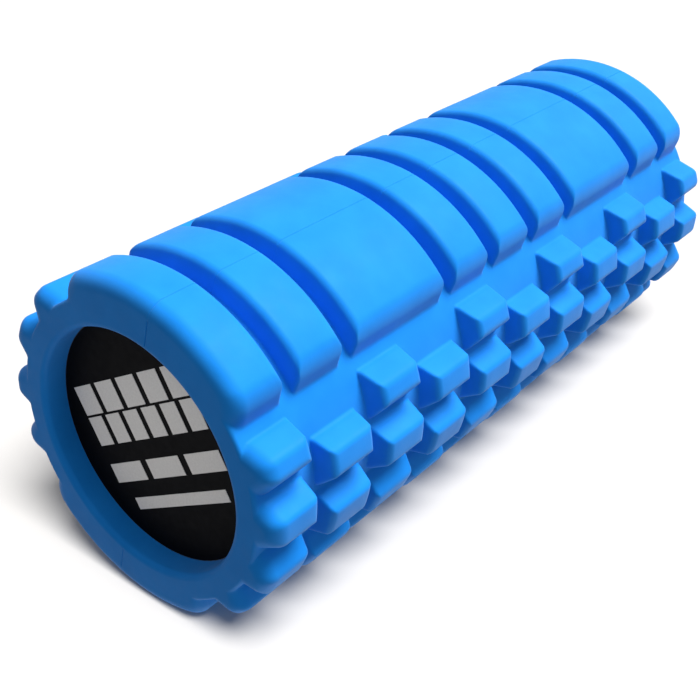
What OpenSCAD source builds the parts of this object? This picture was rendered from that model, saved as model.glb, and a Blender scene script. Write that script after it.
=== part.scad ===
// Textured foam roller: a moulded sleeve with ribs and bumps, bonded over a solid core.
// Millimetres. The axis lies along X, +Z is up, and the origin is on the floor under the middle.

/* [Roller] */
// Overall length along the axis
roller_length = 330; // [300:1:360]
// Diameter over the ribs and the bumps
roller_d = 138; // [134:1:144]
// Diameter at the bottom of the grooves
groove_d = 120; // [116:1:124]
// Diameter of the bore through the sleeve
bore_d = 98.6; // [92:0.2:104]
// Turn about the axis as the roller lies, 0 with a parting line uppermost
lie_angle = 14.5; // [-180:0.5:180]

/* [Ribs and bumps] */
// How many rings each rib spans, in order from the left end
rib_spans = [1, 1, 2, 1, 1, 1, 2, 1, 1];
// Length of a bump or a narrow rib along the axis, across its top
block_length = 22; // [20:0.5:24]
// Half the angle that a rib's top covers round the axis
rib_top = 38; // [34:0.5:40]
// Half the angle that a rib covers at its foot
rib_foot = 43.8; // [41:0.2:46]
// Angle from one bump of a ring to the next
bump_pitch = 21.5; // [20:0.5:22]
// Bumps on each side of the first ring, the third and so on. The rings between have one fewer
bumps_per_side = 4; // [3:1:4]
// Angle from a bump's middle to its foot
bump_foot = 9; // [8:0.1:9.5]
// Angle from a bump's middle to the top of its wall that faces away from the nearer ribs
bump_far_top = 3.5; // [2.5:0.1:5]
// The most that the angle to the top of a wall facing the ribs may be
bump_near_top = 5; // [3:0.1:6]
// How far a groove's wall leans out along the axis, from top to foot
wall_draft = 1.2; // [0.5:0.1:2]
// Bevel that softens the edges of tops and end faces
edge_bevel = 1.5; // [0.5:0.1:2.5]

/* [Core and end discs] */
// Depth of the recess at each end, from the end face to the disc's face
recess_depth = 10.3; // [6:0.1:14]
// Glue between the sleeve and the core, on the radius
bond_gap = 0.3; // [0.2:0.1:0.8]
// Thickness of each end disc
disc_thickness = 1.5; // [1:0.1:3]
// Glue behind each end disc
disc_bond = 0.2; // [0.1:0.1:0.5]

/* [Print] */
// Tilt of the printed rows from level, seen from outside the end
print_tilt = 29.5; // [-90:0.5:90]
// Thickness of the printed ink
ink_thickness = 0.15; // [0.1:0.05:0.3]
// Length of the longest printed rows
print_width = 70; // [60:1:74]

/* [Hidden] */
$fn = 96;
FOAM = "dodgerblue";
CORE = "dimgray";
DISC = [0.05, 0.05, 0.06];
GLUE = "tan";
INK = "silver";

outer_r = roller_d / 2;
groove_r = groove_d / 2;
bore_r = bore_d / 2;
core_r = bore_r - bond_gap;
root_depth = 2;      // how far a block reaches into the sleeve's wall
root_lean = wall_draft * (outer_r - edge_bevel - groove_r + root_depth)
            / (outer_r - edge_bevel - groove_r);
spoke_sink = 0.3;    // how far a spoke's walls run on below the foot, as a share of their height
spoke_rise = 1.4;    // how far they reach above it
half_length = roller_length / 2;
disc_face = half_length - recess_depth;
core_length = 2 * (disc_face - disc_thickness - disc_bond);

function total(list, n) = n == 0 ? 0 : list[n - 1] + total(list, n - 1);
rib_count = len(rib_spans);
ring_count = total(rib_spans, rib_count);
ring_pitch = (roller_length - block_length) / (ring_count - 1);
function ring_start(k) = k * ring_pitch - half_length;

// Each span is the start and the end of a ring of blocks along the axis.
function ring_span(k) = [ring_start(k), ring_start(k) + block_length];
function rib_span(i) = [ring_start(total(rib_spans, i)),
                        ring_start(total(rib_spans, i + 1) - 1) + block_length];
even_rings = [for (k = [0 : 2 : ring_count - 1]) ring_span(k)];
odd_rings = [for (k = [1 : 2 : ring_count - 1]) ring_span(k)];
rib_rings = [for (i = [0 : rib_count - 1]) rib_span(i)];

// Places of the bumps round the axis, from the upper parting line. Rings with an odd number in
// the row stand half a pitch off the others, and each side of the roller mirrors the other.
function bump_angles(count) = [for (side = [1, -1], i = [0 : count - 1])
    side * (90 + (i - (count - 1) / 2) * bump_pitch)];
even_bumps = bump_angles(bumps_per_side);
odd_bumps = bump_angles(bumps_per_side - 1);
rib_rows = [0, 180];

// A bump's wall that faces the nearer ribs runs along the way the mould opens, straight out
// from the plane of the parting lines, unless its top would then be too wide.
function near_top(angle) =
    min(bump_near_top, angle - acos(groove_r / outer_r * cos(angle - bump_foot)));
function top_to_ribs(angle) = angle > 90 ? bump_far_top : near_top(angle);

// The printed rows: [height of the row's middle, row height, row length, number of blocks, gap]
print_rows = [
    [21, 12, print_width, 5, 3],
    [8, 12, print_width, 6, 3],
    [-10, 8, print_width, 3, 4],
    [-23.5, 5, print_width - 12, 1, 0],
];

// Lays a shape drawn round Z along the roller's axis. Its +X side meets the upper parting line.
module on_axis() {
    translate([0, 0, outer_r]) rotate([90, 0, 90]) rotate([0, 0, 90 + lie_angle]) children();
}

// Puts a shape drawn on the XY plane onto a disc's outer face. side is -1 left, 1 right.
module on_end(side) {
    translate([side * disc_face, 0, outer_r]) rotate([90, 0, side * 90]) children();
}

// Section of one ring of blocks. A wall leans out unless it is flush with the end face, and
// runs straight on into the sleeve's wall.
module ring_section(span) {
    low_lean = span[0] <= -half_length ? 0 : root_lean;
    high_lean = span[1] >= half_length ? 0 : root_lean;
    polygon([
        [groove_r - root_depth, span[0] - low_lean],
        [outer_r - edge_bevel, span[0]],
        [outer_r, span[0] + edge_bevel],
        [outer_r, span[1] - edge_bevel],
        [outer_r - edge_bevel, span[1]],
        [groove_r - root_depth, span[1] + high_lean],
    ]);
}

// One spoke, taller than the sleeve is thick. Its two side walls pass through the foot and the
// top edges of a block, at these angles to each side of the spoke's middle.
module spoke(middle, low_top, high_top, foot_angle) {
    function at(radius, angle) = radius * [cos(angle), sin(angle)];
    low_foot = at(groove_r, middle - foot_angle);
    low_wall = at(outer_r, middle - low_top) - low_foot;
    high_foot = at(groove_r, middle + foot_angle);
    high_wall = at(outer_r, middle + high_top) - high_foot;
    linear_extrude(height = roller_length + 10, center = true)
        polygon([
            low_foot - spoke_sink * low_wall,
            low_foot + spoke_rise * low_wall,
            at(2 * outer_r, middle),
            high_foot + spoke_rise * high_wall,
            high_foot - spoke_sink * high_wall,
        ]);
}

// Blocks stand where rings and spokes cross. The spokes are this module's children.
module blocks(spans) {
    intersection() {
        union() {
            for (span = spans) rotate_extrude() ring_section(span);
        }
        union() children();
    }
}

module rib_spokes() {
    for (row = rib_rows) spoke(row, rib_top, rib_top, rib_foot);
}

module bump_spokes(angles) {
    for (angle = angles) {
        to_upper = top_to_ribs(abs(angle));
        to_lower = top_to_ribs(180 - abs(angle));
        if (angle > 0) spoke(angle, to_upper, to_lower, bump_foot);
        else spoke(angle, to_lower, to_upper, bump_foot);
    }
}

module sleeve_wall() {
    difference() {
        cylinder(r = groove_r, h = roller_length, center = true);
        cylinder(r = bore_r, h = roller_length + 10, center = true);
    }
}

module foam_sleeve() {
    color(FOAM) on_axis() {
        sleeve_wall();
        blocks(rib_rings) rib_spokes();
        blocks(even_rings) bump_spokes(even_bumps);
        blocks(odd_rings) bump_spokes(odd_bumps);
    }
}

module core() {
    color(CORE) on_axis() cylinder(r = core_r, h = core_length, center = true);
}

// The film of glue that joins the sleeve to the core and to the rims of the end discs.
module core_bond() {
    color(GLUE) on_axis() difference() {
        cylinder(r = bore_r, h = 2 * disc_face, center = true);
        cylinder(r = core_r, h = roller_length, center = true);
    }
}

module end_disc(side) {
    color(DISC) on_end(side) translate([0, 0, -disc_thickness])
        cylinder(r = core_r, h = disc_thickness);
}

module disc_bond_film(side) {
    color(GLUE) on_end(side) translate([0, 0, -disc_thickness - disc_bond])
        cylinder(r = core_r, h = disc_bond);
}

// A row of equal blocks, like a plan of the tread, and plain bars below.
module end_print(side) {
    color(INK) on_end(side) rotate([0, 0, print_tilt])
        for (row = print_rows) {
            length = (row[2] - (row[3] - 1) * row[4]) / row[3];
            for (i = [0 : row[3] - 1])
                translate([-row[2] / 2 + i * (length + row[4]), row[0] - row[1] / 2, 0])
                    cube([length, row[1], ink_thickness]);
        }
}

module left_end_disc() { end_disc(-1); }
module right_end_disc() { end_disc(1); }
module left_disc_bond() { disc_bond_film(-1); }
module right_disc_bond() { disc_bond_film(1); }
module left_print() { end_print(-1); }
module right_print() { end_print(1); }

foam_sleeve();
core();
core_bond();
left_end_disc();
right_end_disc();
left_disc_bond();
right_disc_bond();
left_print();
right_print();
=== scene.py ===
"""Textured foam roller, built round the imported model. Blender's units are metres.

The tread is worked out in millimetres along the axis from the left end (s), in degrees round it
from the upper parting line (a), and as a radius (r).
"""
import functools
import math

import bpy
import numpy as np
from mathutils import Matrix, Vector


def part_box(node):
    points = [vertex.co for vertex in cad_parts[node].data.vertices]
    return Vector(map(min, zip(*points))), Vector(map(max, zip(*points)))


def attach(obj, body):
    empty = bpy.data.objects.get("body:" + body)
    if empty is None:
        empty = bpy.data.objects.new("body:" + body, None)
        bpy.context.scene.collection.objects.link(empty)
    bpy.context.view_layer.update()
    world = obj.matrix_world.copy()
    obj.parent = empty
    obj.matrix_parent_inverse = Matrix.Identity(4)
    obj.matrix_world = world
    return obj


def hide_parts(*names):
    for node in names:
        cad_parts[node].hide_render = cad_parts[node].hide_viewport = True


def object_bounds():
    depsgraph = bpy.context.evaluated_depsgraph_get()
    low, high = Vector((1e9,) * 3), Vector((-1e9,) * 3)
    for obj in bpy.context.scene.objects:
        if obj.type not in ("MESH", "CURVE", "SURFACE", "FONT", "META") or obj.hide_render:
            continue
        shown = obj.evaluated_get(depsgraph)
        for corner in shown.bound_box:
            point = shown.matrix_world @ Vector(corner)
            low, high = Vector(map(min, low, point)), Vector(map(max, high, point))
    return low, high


MM = 0.001

# The tread's layout, as in the CAD model
RIB_SPANS = (1, 1, 2, 1, 1, 1, 2, 1, 1)  # rings that each rib spans, from the left end
RINGS = sum(RIB_SPANS)
BLOCK_LENGTH = 22.0  # of a bump or a narrow rib, across its top
LIE_ANGLE = 14.5  # from straight up to the upper parting line, towards -Y
TOP_R, GROOVE_DEPTH = 69.0, 9.0
FLOOR_R = TOP_R - GROOVE_DEPTH
RIB_ROWS = (0.0, 180.0)
RIB_TOP, RIB_FOOT = 38.0, 43.8  # half the angle that a rib covers
BUMP_PITCH = 21.5
BUMPS_PER_SIDE = 4  # on the first ring; the rings between have one fewer
BUMP_FOOT, BUMP_FAR_TOP, BUMP_NEAR_TOP = 9.0, 3.5, 5.0  # angles from a bump's middle
WALL_DRAFT = 1.2  # a groove's wall leans this far out from top to foot

# Radii that soften the moulded edges
LAND_ROUND = 2.7  # between a top and a wall that crosses the axis
RIB_FLANK_ROUND, BUMP_FLANK_ROUND = 4.5, 1.4  # between a top and a wall along the axis
CORNER_ROUND = 1.3  # between two walls of a block
FOOT_FILLET = 0.5
BUMP_STEP_HEIGHT = 1.0  # a bump's sloping sides start this far above the groove's floor
LIP_ROUND = 2.5  # round the mouth of the bore

END_ROUND, FLOOR_END_ROUND = 6.0, 1.5  # between an end face and the blocks, and the grooves
PARTING_WIDTH, PARTING_DEPTH = 0.3, 0.45  # the mould's parting line: degrees, millimetres

# Mesh density
FINE_STEP, COARSE_STEP = 0.6, 3.0  # degrees between lines along the axis
BUMP_ZONE = (33.0, 147.0)  # angles that take the finer step, on both sides
SEAM_LINES = (-2.0, -1.2, -1.0, -0.5, 0.0, 0.5, 1.0, 1.2, 2.0)  # in widths of the parting line
END_LINES, LIP_LINES = 18, 8  # across the rounding of an end, and of the bore's mouth
FILLET_LINES, WALL_LINES, LAND_LINES, TOP_LINES = 5, 5, 8, 5  # across the parts of a ring
FACE_SHARES = (0.04, 0.12, 0.3, 0.5, 0.7, 0.88, 0.96)  # of the way from an end's rim to the mouth
BORE_LINES, BORE_INSET = 9, 6.0  # along the bore, and how far in the first of them lies

# The search for the tread's surface
SOLVE_BELOW, SOLVE_ABOVE = 8.0, 0.4  # how far it looks under the grooves' floor and over the tops
SOLVE_STEPS, SOLVE_TOUCH = 26, 1e-6  # halvings, and the distance that counts as touching
SPARE_S, SPARE_A = 0.5, 3.0  # how far it looks past a block's foot, in millimetres and degrees

CAMERA_PLACE = Vector((-0.3682, -0.2628, 0.3047))
CAMERA_LOOK = Vector((0.67030, 0.53870, -0.51039))
CAMERA_LENS = 57.31

WORLD_LEVEL, WORLD_SLOPE = 0.28, (0.04, -0.08, 0.32)  # brightness, and its rise along each axis

# Each lamp's direction, strength and width in degrees
KEY = ((-0.40, 0.31, -0.86), 5.2, 32)
BOUNCE = ((0.0, 0.25, 0.97), 1.3, 60)
FLOOR_KEY = ((0.20, 0.50, -1.0), 7.6, 28)
FLOOR_HALF, FLOOR_COLOUR = 30.0, (0.43, 0.42, 0.41, 1.0)


# ---------------------------------------------------------------- sleeve

def rounded_meet(distances, radius):
    """Signed distance to where solids overlap, with the edges between them rounded off."""
    raised = [d + radius for d in distances]
    outside = np.sqrt(sum(np.maximum(d, 0.0) ** 2 for d in raised))
    inside = np.minimum(functools.reduce(np.maximum, raised), 0.0)
    return outside + inside - radius


def filleted_join(first, second, radius):
    """Signed distance to two solids together, with a fillet where they meet."""
    sunk = np.hypot(np.maximum(radius - first, 0.0), np.maximum(radius - second, 0.0))
    return np.maximum(radius, np.minimum(first, second)) - sunk


def outside_wall(radius, angle, foot_r, foot, top, side):
    """Distance beyond a wall through the foot point and the top point of one side of a block."""
    fx, fy = foot_r * math.cos(foot), foot_r * math.sin(foot)
    tx, ty = TOP_R * math.cos(top), TOP_R * math.sin(top)
    length = math.hypot(tx - fx, ty - fy)
    nx, ny = -(ty - fy) / length * side, (tx - fx) / length * side
    return (radius * np.cos(angle) - fx) * nx + (radius * np.sin(angle) - fy) * ny


def block_distance(block, s, angle, radius):
    """Signed distance to one rib or bump together with the sleeve's wall."""
    start, end, low_foot, low_top, high_foot, high_top = block
    lean = WALL_DRAFT * (TOP_R - radius) / GROOVE_DEPTH
    across = []  # the walls that cross the axis. At an end of the roller there is none
    if start > 0.0:
        across.append(start - s - lean)
    if end < LENGTH:
        across.append(s - end - lean)
    inset = end_inset(s, END_ROUND)
    is_rib = high_foot - low_foot > math.radians(RIB_FOOT)
    flank_round = (RIB_FLANK_ROUND if is_rib else BUMP_FLANK_ROUND) + inset
    foot_r = FLOOR_R if is_rib else FLOOR_R + BUMP_STEP_HEIGHT
    along = [outside_wall(radius, angle, foot_r, low_foot, low_top, -1.0),
             outside_wall(radius, angle, foot_r, high_foot, high_top, 1.0)]
    if not is_rib:
        step = [radius * np.sin(low_foot - angle), radius * np.sin(angle - high_foot)]
        along = [rounded_meet(pair, CORNER_ROUND / 2) for pair in zip(along, step)]
    top = radius - TOP_R
    solid = functools.reduce(np.maximum, (
        rounded_meet([*across, top], LAND_ROUND),
        rounded_meet([*along, top], flank_round),
        rounded_meet([*across, *along], CORNER_ROUND)))
    floor = radius - FLOOR_R + end_inset(s, FLOOR_END_ROUND)
    return filleted_join(solid + inset, floor, FOOT_FILLET)


def end_inset(s, radius):
    """How far an outline draws in at each place along the axis, where the ends are rounded."""
    depth = np.clip(radius - np.minimum(s, LENGTH - s), 0.0, radius)
    return radius - np.sqrt(radius ** 2 - depth ** 2)


def surface_radius(distance, shape):
    """The radius at which distance(radius) passes through zero, for an array of that shape."""
    low, high = np.full(shape, FLOOR_R - SOLVE_BELOW), np.full(shape, TOP_R + SOLVE_ABOVE)
    for _ in range(SOLVE_STEPS):
        middle = (low + high) / 2
        inside = distance(middle) < SOLVE_TOUCH
        low = np.where(inside, middle, low)
        high = np.where(inside, high, middle)
    return low


def near_top(angle):
    """How far from a bump's middle its wall that faces the nearer ribs meets the top."""
    foot_height = FLOOR_R / TOP_R * math.cos(math.radians(angle - BUMP_FOOT))
    return min(BUMP_NEAR_TOP, angle - math.degrees(math.acos(foot_height)))


def bump_walls(angle):
    """(low foot, low top, high foot, high top) of a bump at an angle from 0 to 180 degrees."""
    low = near_top(angle) if angle <= 90 else BUMP_FAR_TOP
    high = near_top(180 - angle) if angle >= 90 else BUMP_FAR_TOP
    return angle - BUMP_FOOT, angle - low, angle + BUMP_FOOT, angle + high


def blocks():
    """Every rib and bump as (start, end, low foot, low top, high foot, high top), in radians."""
    ring = 0
    made = []

    def add(first_ring, last_ring, walls):
        start, end = RING_PITCH * first_ring, RING_PITCH * last_ring + BLOCK_LENGTH
        made.append((start, end, *map(math.radians, walls)))

    for span in RIB_SPANS:
        for row in RIB_ROWS:
            add(ring, ring + span - 1,
                (row - RIB_FOOT, row - RIB_TOP, row + RIB_FOOT, row + RIB_TOP))
        ring += span
    for ring in range(RINGS):
        count = BUMPS_PER_SIDE - ring % 2
        for i in range(count):
            low_foot, low_top, high_foot, high_top = bump_walls(
                90 + (i - (count - 1) / 2) * BUMP_PITCH)
            add(ring, ring, (low_foot, low_top, high_foot, high_top))
            add(ring, ring, (-high_foot, -high_top, -low_foot, -low_top))
    return made


def eased(start, end, count):
    """From start to end, closer together towards the end."""
    return start + (end - start) * np.sin(np.linspace(0, math.pi / 2, count))


def axial_lines():
    """Places along the axis, close together on the walls and roundings of each ring."""
    foot_fillet = eased(-WALL_DRAFT - FOOT_FILLET, -WALL_DRAFT, FILLET_LINES)
    wall = np.linspace(-WALL_DRAFT, 0, WALL_LINES)[1:-1]
    land = eased(LAND_ROUND, 0, LAND_LINES)[::-1]
    offsets = np.concatenate((foot_fillet, wall, land))
    end = END_ROUND * (1 - np.sin(np.linspace(0, math.pi / 2, END_LINES)))
    lines = [end, LENGTH - end]
    for ring in range(RINGS):
        start = RING_PITCH * ring
        if ring > 0:
            lines.append(start + offsets)
        if ring < RINGS - 1:
            lines.append(start + BLOCK_LENGTH - offsets)
        top = np.linspace(LAND_ROUND, BLOCK_LENGTH - LAND_ROUND, TOP_LINES)[1:-1]
        lines.append(start + top)
    return np.unique(np.round(np.concatenate(lines), 4))


def round_lines():
    """Angles round the axis, close together where the bumps are and at the parting lines."""
    low, high = BUMP_ZONE
    fine = np.linspace(low, high, round((high - low) / FINE_STEP) + 1)
    coarse = np.linspace(-low, low, round(2 * low / COARSE_STEP) + 1)[1:-1]
    seam = PARTING_WIDTH * np.array(SEAM_LINES)
    upper = np.concatenate((coarse, seam))
    angles = np.concatenate((fine, -fine, upper, upper + 180))
    return np.radians(np.unique(np.round(angles % 360, 4)))


def seam_depth(angle):
    """Depth of the parting line's crease at each angle."""
    off = np.degrees(np.abs((angle + math.pi / 2) % math.pi - math.pi / 2))
    return PARTING_DEPTH * np.maximum(0.0, 1.0 - off / PARTING_WIDTH)


def tread_radius(lines, angles):
    """The outer surface's radius at every crossing of the lines."""
    s = lines[:, None]
    radius = np.repeat(FLOOR_R - end_inset(s, FLOOR_END_ROUND), len(angles), axis=1)
    reach_s, reach_a = WALL_DRAFT + FOOT_FILLET + SPARE_S, math.radians(SPARE_A)
    for block in blocks():
        rows = np.flatnonzero((lines > block[0] - reach_s) & (lines < block[1] + reach_s))
        middle, half = (block[2] + block[4]) / 2, (block[4] - block[2]) / 2 + reach_a
        off = (angles - middle + math.pi) % (2 * math.pi) - math.pi
        columns = np.flatnonzero(np.abs(off) < half)
        at_s, at_a = lines[rows][:, None], (off[columns] + middle)[None, :]
        found = surface_radius(lambda r: block_distance(block, at_s, at_a, r),
                               (len(rows), len(columns)))
        window = np.ix_(rows, columns)
        radius[window] = np.maximum(radius[window], found)
    return radius - seam_depth(angles)


def sleeve_profile(lines, angles, bore_r):
    """Stations round the sleeve's section: (places along the axis, radii), one row for each.

    They run along the outside, down the right end face, back along the bore and up the left one.
    """
    outer = tread_radius(lines, angles)
    every = np.ones(len(angles))
    stations = [(s * every, r) for s, r in zip(lines, outer)]
    turn = np.linspace(0, math.pi / 2, LIP_LINES)
    lip_s, lip_r = LIP_ROUND * (1 - np.cos(turn)), bore_r + LIP_ROUND * (1 - np.sin(turn))
    crease = seam_depth(angles)

    def face(rim, place, inward):
        for share in FACE_SHARES:
            yield place + inward * crease, rim + (bore_r + LIP_ROUND - rim) * share

    stations += face(outer[-1], LENGTH, -1)
    stations += [((LENGTH - s) * every, r * every) for s, r in zip(lip_s, lip_r)]
    stations += [(s * every, bore_r * every)
                 for s in np.linspace(LENGTH - BORE_INSET, BORE_INSET, BORE_LINES)]
    stations += [(s * every, r * every) for s, r in zip(lip_s[::-1], lip_r[::-1])]
    stations += list(face(outer[0], 0.0, 1))[::-1]
    return np.array([s for s, _ in stations]), np.array([r for _, r in stations])


def closed_grid(name, points):
    """A mesh over a grid of points that closes on itself both ways."""
    rows, columns = points.shape[:2]
    index = np.arange(rows * columns).reshape(rows, columns)
    right, down = np.roll(index, -1, axis=1), np.roll(index, -1, axis=0)
    faces = np.stack((index, right, np.roll(down, -1, axis=1), down), axis=-1).reshape(-1, 4)
    mesh = bpy.data.meshes.new(name)
    mesh.vertices.add(rows * columns)
    mesh.vertices.foreach_set("co", points.reshape(-1))
    mesh.loops.add(faces.size)
    mesh.loops.foreach_set("vertex_index", faces.reshape(-1).astype(np.int32))
    mesh.polygons.add(len(faces))
    mesh.polygons.foreach_set("loop_start", np.arange(0, faces.size, 4, dtype=np.int32))
    mesh.polygons.foreach_set("use_smooth", np.ones(len(faces), bool))
    mesh.update(calc_edges=True)
    mesh.validate()
    piece = bpy.data.objects.new(name, mesh)
    bpy.context.scene.collection.objects.link(piece)
    return piece


def make_sleeve():
    angles = round_lines()
    bond_low, bond_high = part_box("core_bond")
    bore_r = (bond_high.y - bond_low.y) / 2 / MM
    s, r = sleeve_profile(axial_lines(), angles, bore_r)
    turned = angles[None, :] + math.radians(90 + LIE_ANGLE)
    points = np.stack((s - LENGTH / 2, r * np.cos(turned), TOP_R + r * np.sin(turned)), axis=-1)
    sleeve = closed_grid("sleeve", points * MM)
    sleeve.data.materials.append(foam_material("moulded_foam"))
    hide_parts("foam_sleeve")
    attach(sleeve, "root")


# ---------------------------------------------------------------- materials

class Nodes:
    """Short calls to add and join shader nodes."""

    def __init__(self, name):
        self.material = bpy.data.materials.new(name)
        self.material.use_nodes = True
        self.tree = self.material.node_tree
        self.shader = self.tree.nodes["Principled BSDF"]
        self.place = self.add("ShaderNodeTexCoord").outputs["Object"]

    def add(self, kind, **values):
        node = self.tree.nodes.new(kind)
        for key, value in values.items():
            if key in node.inputs:
                self.put(node.inputs[key], value)
            else:
                setattr(node, key, value)
        return node

    def put(self, socket, value):
        if isinstance(value, bpy.types.NodeSocket):
            self.tree.links.new(value, socket)
        else:
            socket.default_value = value

    def noise(self, size, detail=2.0, roughness=0.5):
        """Noise whose features are about size millimetres across, from 0 to 1."""
        node = self.add("ShaderNodeTexNoise", Vector=self.place, Scale=1 / (size * MM),
                        Detail=detail, Roughness=roughness)
        return node.outputs["Fac"]

    def between(self, factor, low, high):
        """Takes a factor that runs from about 0.3 to 0.7, and makes it run from low to high."""
        node = self.add("ShaderNodeMapRange")
        for socket, value in zip(node.inputs, (factor, 0.3, 0.7, low, high)):
            self.put(socket, value)
        return node.outputs["Result"]

    def mix(self, factor, first, second):
        node = self.add("ShaderNodeMix", data_type="RGBA")
        for socket, value in zip((node.inputs[0], node.inputs[6], node.inputs[7]),
                                 (factor, (*first, 1.0), (*second, 1.0))):
            self.put(socket, value)
        return node.outputs[2]

    def bump(self, height, depth, below=None):
        """A bump of that depth in millimetres, on top of another."""
        node = self.add("ShaderNodeBump", Height=height, Distance=depth * MM, Strength=1.0)
        if below is not None:
            self.put(node.inputs["Normal"], below)
        return node.outputs["Normal"]

    def set(self, **values):
        for key, value in values.items():
            self.put(self.shader.inputs[key.replace("_", " ")], value)
        return self.material


def foam_material(name):
    """Moulded EVA foam: a satin skin with a fine grain, faint waves and slight mottling."""
    nodes = Nodes(name)
    mottle = nodes.between(nodes.noise(14, detail=3), 0.0, 1.0)
    colour = nodes.mix(mottle, (0.006, 0.212, 0.690), (0.009, 0.238, 0.750))
    waves = nodes.bump(nodes.noise(9, detail=1), 0.10)
    grain = nodes.bump(nodes.noise(0.55, detail=3, roughness=0.6), 0.035, waves)
    roughness = nodes.between(nodes.noise(5, detail=3), 0.44, 0.54)
    return nodes.set(Base_Color=colour, Roughness=roughness, Normal=grain,
                     Specular_IOR_Level=0.05, Sheen_Weight=0.10, Sheen_Roughness=0.5)


def disc_material(name):
    """Matt black sheet with a fine weave."""
    nodes = Nodes(name)
    colour = nodes.mix(nodes.noise(8, detail=3),
                       (0.0010, 0.0011, 0.0018), (0.0018, 0.0019, 0.0028))
    weave = nodes.bump(nodes.noise(0.4, detail=2), 0.02)
    roughness = nodes.between(nodes.noise(3, detail=3), 0.55, 0.65)
    return nodes.set(Base_Color=colour, Roughness=roughness, Normal=weave,
                     Specular_IOR_Level=0.03)


def ink_material(name):
    """Pale grey ink, a little uneven."""
    nodes = Nodes(name)
    worn = nodes.between(nodes.noise(0.9, detail=4, roughness=0.7), 0.0, 1.0)
    colour = nodes.mix(worn, (0.78, 0.77, 0.76), (0.88, 0.87, 0.86))
    return nodes.set(Base_Color=colour, Metallic=0.15, Roughness=0.6,
                     Normal=nodes.bump(nodes.noise(0.4), 0.01))


def glue_material(name):
    nodes = Nodes(name)
    colour = nodes.mix(nodes.noise(4), (0.02, 0.02, 0.022), (0.035, 0.034, 0.034))
    return nodes.set(Base_Color=colour, Roughness=0.4,
                     Normal=nodes.bump(nodes.noise(2, detail=3), 0.05))


def core_material(name):
    nodes = Nodes(name)
    colour = nodes.mix(nodes.noise(1.5, detail=3), (0.015, 0.015, 0.017), (0.026, 0.026, 0.028))
    return nodes.set(Base_Color=colour, Roughness=0.8,
                     Normal=nodes.bump(nodes.noise(0.8, detail=3), 0.08))


def finish_nodes():
    """Gives each CAD node that still shows its material."""
    core, glue = core_material("core_foam"), glue_material("contact_glue")
    disc, ink = disc_material("black_sheet"), ink_material("grey_ink")
    looks = {"core": core, "core_bond": glue, "left_disc_bond": glue, "right_disc_bond": glue,
             "left_end_disc": disc, "right_end_disc": disc,
             "left_print": ink, "right_print": ink}
    for name, material in looks.items():
        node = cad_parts[name]
        if not node.material_slots:
            node.data.materials.append(material)
        for slot in node.material_slots:
            slot.material = material


# ---------------------------------------------------------------- studio

def make_floor():
    mesh = bpy.data.meshes.new("floor")
    corners = [(FLOOR_HALF * x, FLOOR_HALF * y, 0) for x, y in ((-1, -1), (1, -1), (1, 1), (-1, 1))]
    mesh.from_pydata(corners, [], [(0, 1, 2, 3)])
    floor = bpy.data.objects.new("floor", mesh)
    bpy.context.scene.collection.objects.link(floor)
    nodes = Nodes("pale_floor")
    mesh.materials.append(nodes.set(Base_Color=FLOOR_COLOUR, Roughness=0.9,
                                    Specular_IOR_Level=0.0))
    floor.visible_diffuse = floor.visible_shadow = False
    return floor


def add_sun(name, towards, strength, softness):
    """A sun that shines along a direction. softness is its width in degrees."""
    light = bpy.data.lights.new(name, "SUN")
    light.energy, light.angle = strength, math.radians(softness)
    lamp = bpy.data.objects.new(name, light)
    lamp.rotation_euler = Vector(towards).to_track_quat("-Z", "Y").to_euler()
    bpy.context.scene.collection.objects.link(lamp)
    return lamp


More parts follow.
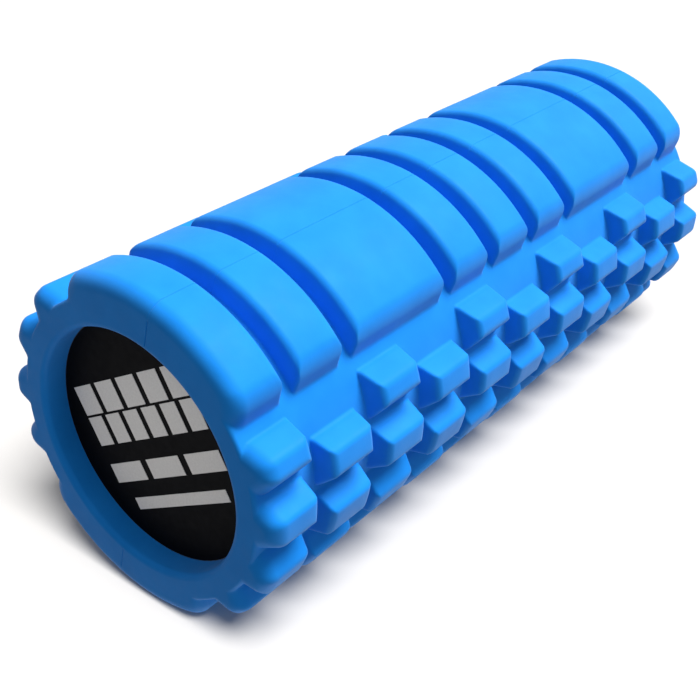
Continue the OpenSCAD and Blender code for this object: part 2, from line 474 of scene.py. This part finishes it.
def make_world():
    """A soft white surround, brightest above, and a little brighter towards -Y than +Y."""
    world = bpy.data.worlds.new("studio")
    world.use_nodes = True
    tree = world.node_tree
    background = tree.nodes["Background"]
    direction = tree.nodes.new("ShaderNodeTexCoord").outputs["Generated"]
    slope = tree.nodes.new("ShaderNodeVectorMath")
    slope.operation = "DOT_PRODUCT"
    slope.inputs[1].default_value = WORLD_SLOPE
    level = tree.nodes.new("ShaderNodeMath")
    level.operation, level.use_clamp = "ADD", True
    level.inputs[1].default_value = WORLD_LEVEL
    tree.links.new(direction, slope.inputs[0])
    tree.links.new(slope.outputs["Value"], level.inputs[0])
    tree.links.new(level.outputs[0], background.inputs["Strength"])
    background.inputs["Color"].default_value = (1.0, 1.0, 1.0, 1.0)
    bpy.context.scene.world = world


def light_only(lamp, objects, name):
    """Links a lamp so that it lights only these objects."""
    lit = bpy.data.collections.new(name)
    for item in objects:
        lit.objects.link(item)
    lamp.light_linking.receiver_collection = lit


def make_lights(floor):
    """Two lamps light only the roller, and the third lights only the floor."""
    pieces = [item for item in bpy.context.scene.objects if item.type == "MESH" and item != floor]
    light_only(add_sun("key", *KEY), pieces, "lit_by_key")
    light_only(add_sun("bounce", *BOUNCE), pieces, "lit_by_bounce")
    light_only(add_sun("floor_key", *FLOOR_KEY), [floor], "lit_by_floor_key")
    make_world()
    bpy.context.scene.view_settings.view_transform = "Standard"


def make_camera():
    data = bpy.data.cameras.new("camera")
    data.lens = CAMERA_LENS
    data.clip_start, data.clip_end = 0.01, 100.0
    camera = bpy.data.objects.new("camera", data)
    camera.location = CAMERA_PLACE
    camera.rotation_euler = CAMERA_LOOK.to_track_quat("-Z", "Y").to_euler()
    bpy.context.scene.collection.objects.link(camera)
    bpy.context.scene.camera = camera


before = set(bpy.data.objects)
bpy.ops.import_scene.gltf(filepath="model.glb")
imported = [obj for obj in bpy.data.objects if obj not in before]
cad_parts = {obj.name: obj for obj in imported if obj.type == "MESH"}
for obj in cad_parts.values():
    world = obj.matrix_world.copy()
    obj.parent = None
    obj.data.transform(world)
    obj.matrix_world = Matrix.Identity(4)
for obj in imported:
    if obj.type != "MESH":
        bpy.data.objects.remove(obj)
cad_low, cad_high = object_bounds()
LENGTH = round((cad_high.x - cad_low.x) / MM, 3)
RING_PITCH = (LENGTH - BLOCK_LENGTH) / (RINGS - 1)

make_sleeve()
finish_nodes()
make_lights(make_floor())
make_camera()

bpy.context.view_layer.update()
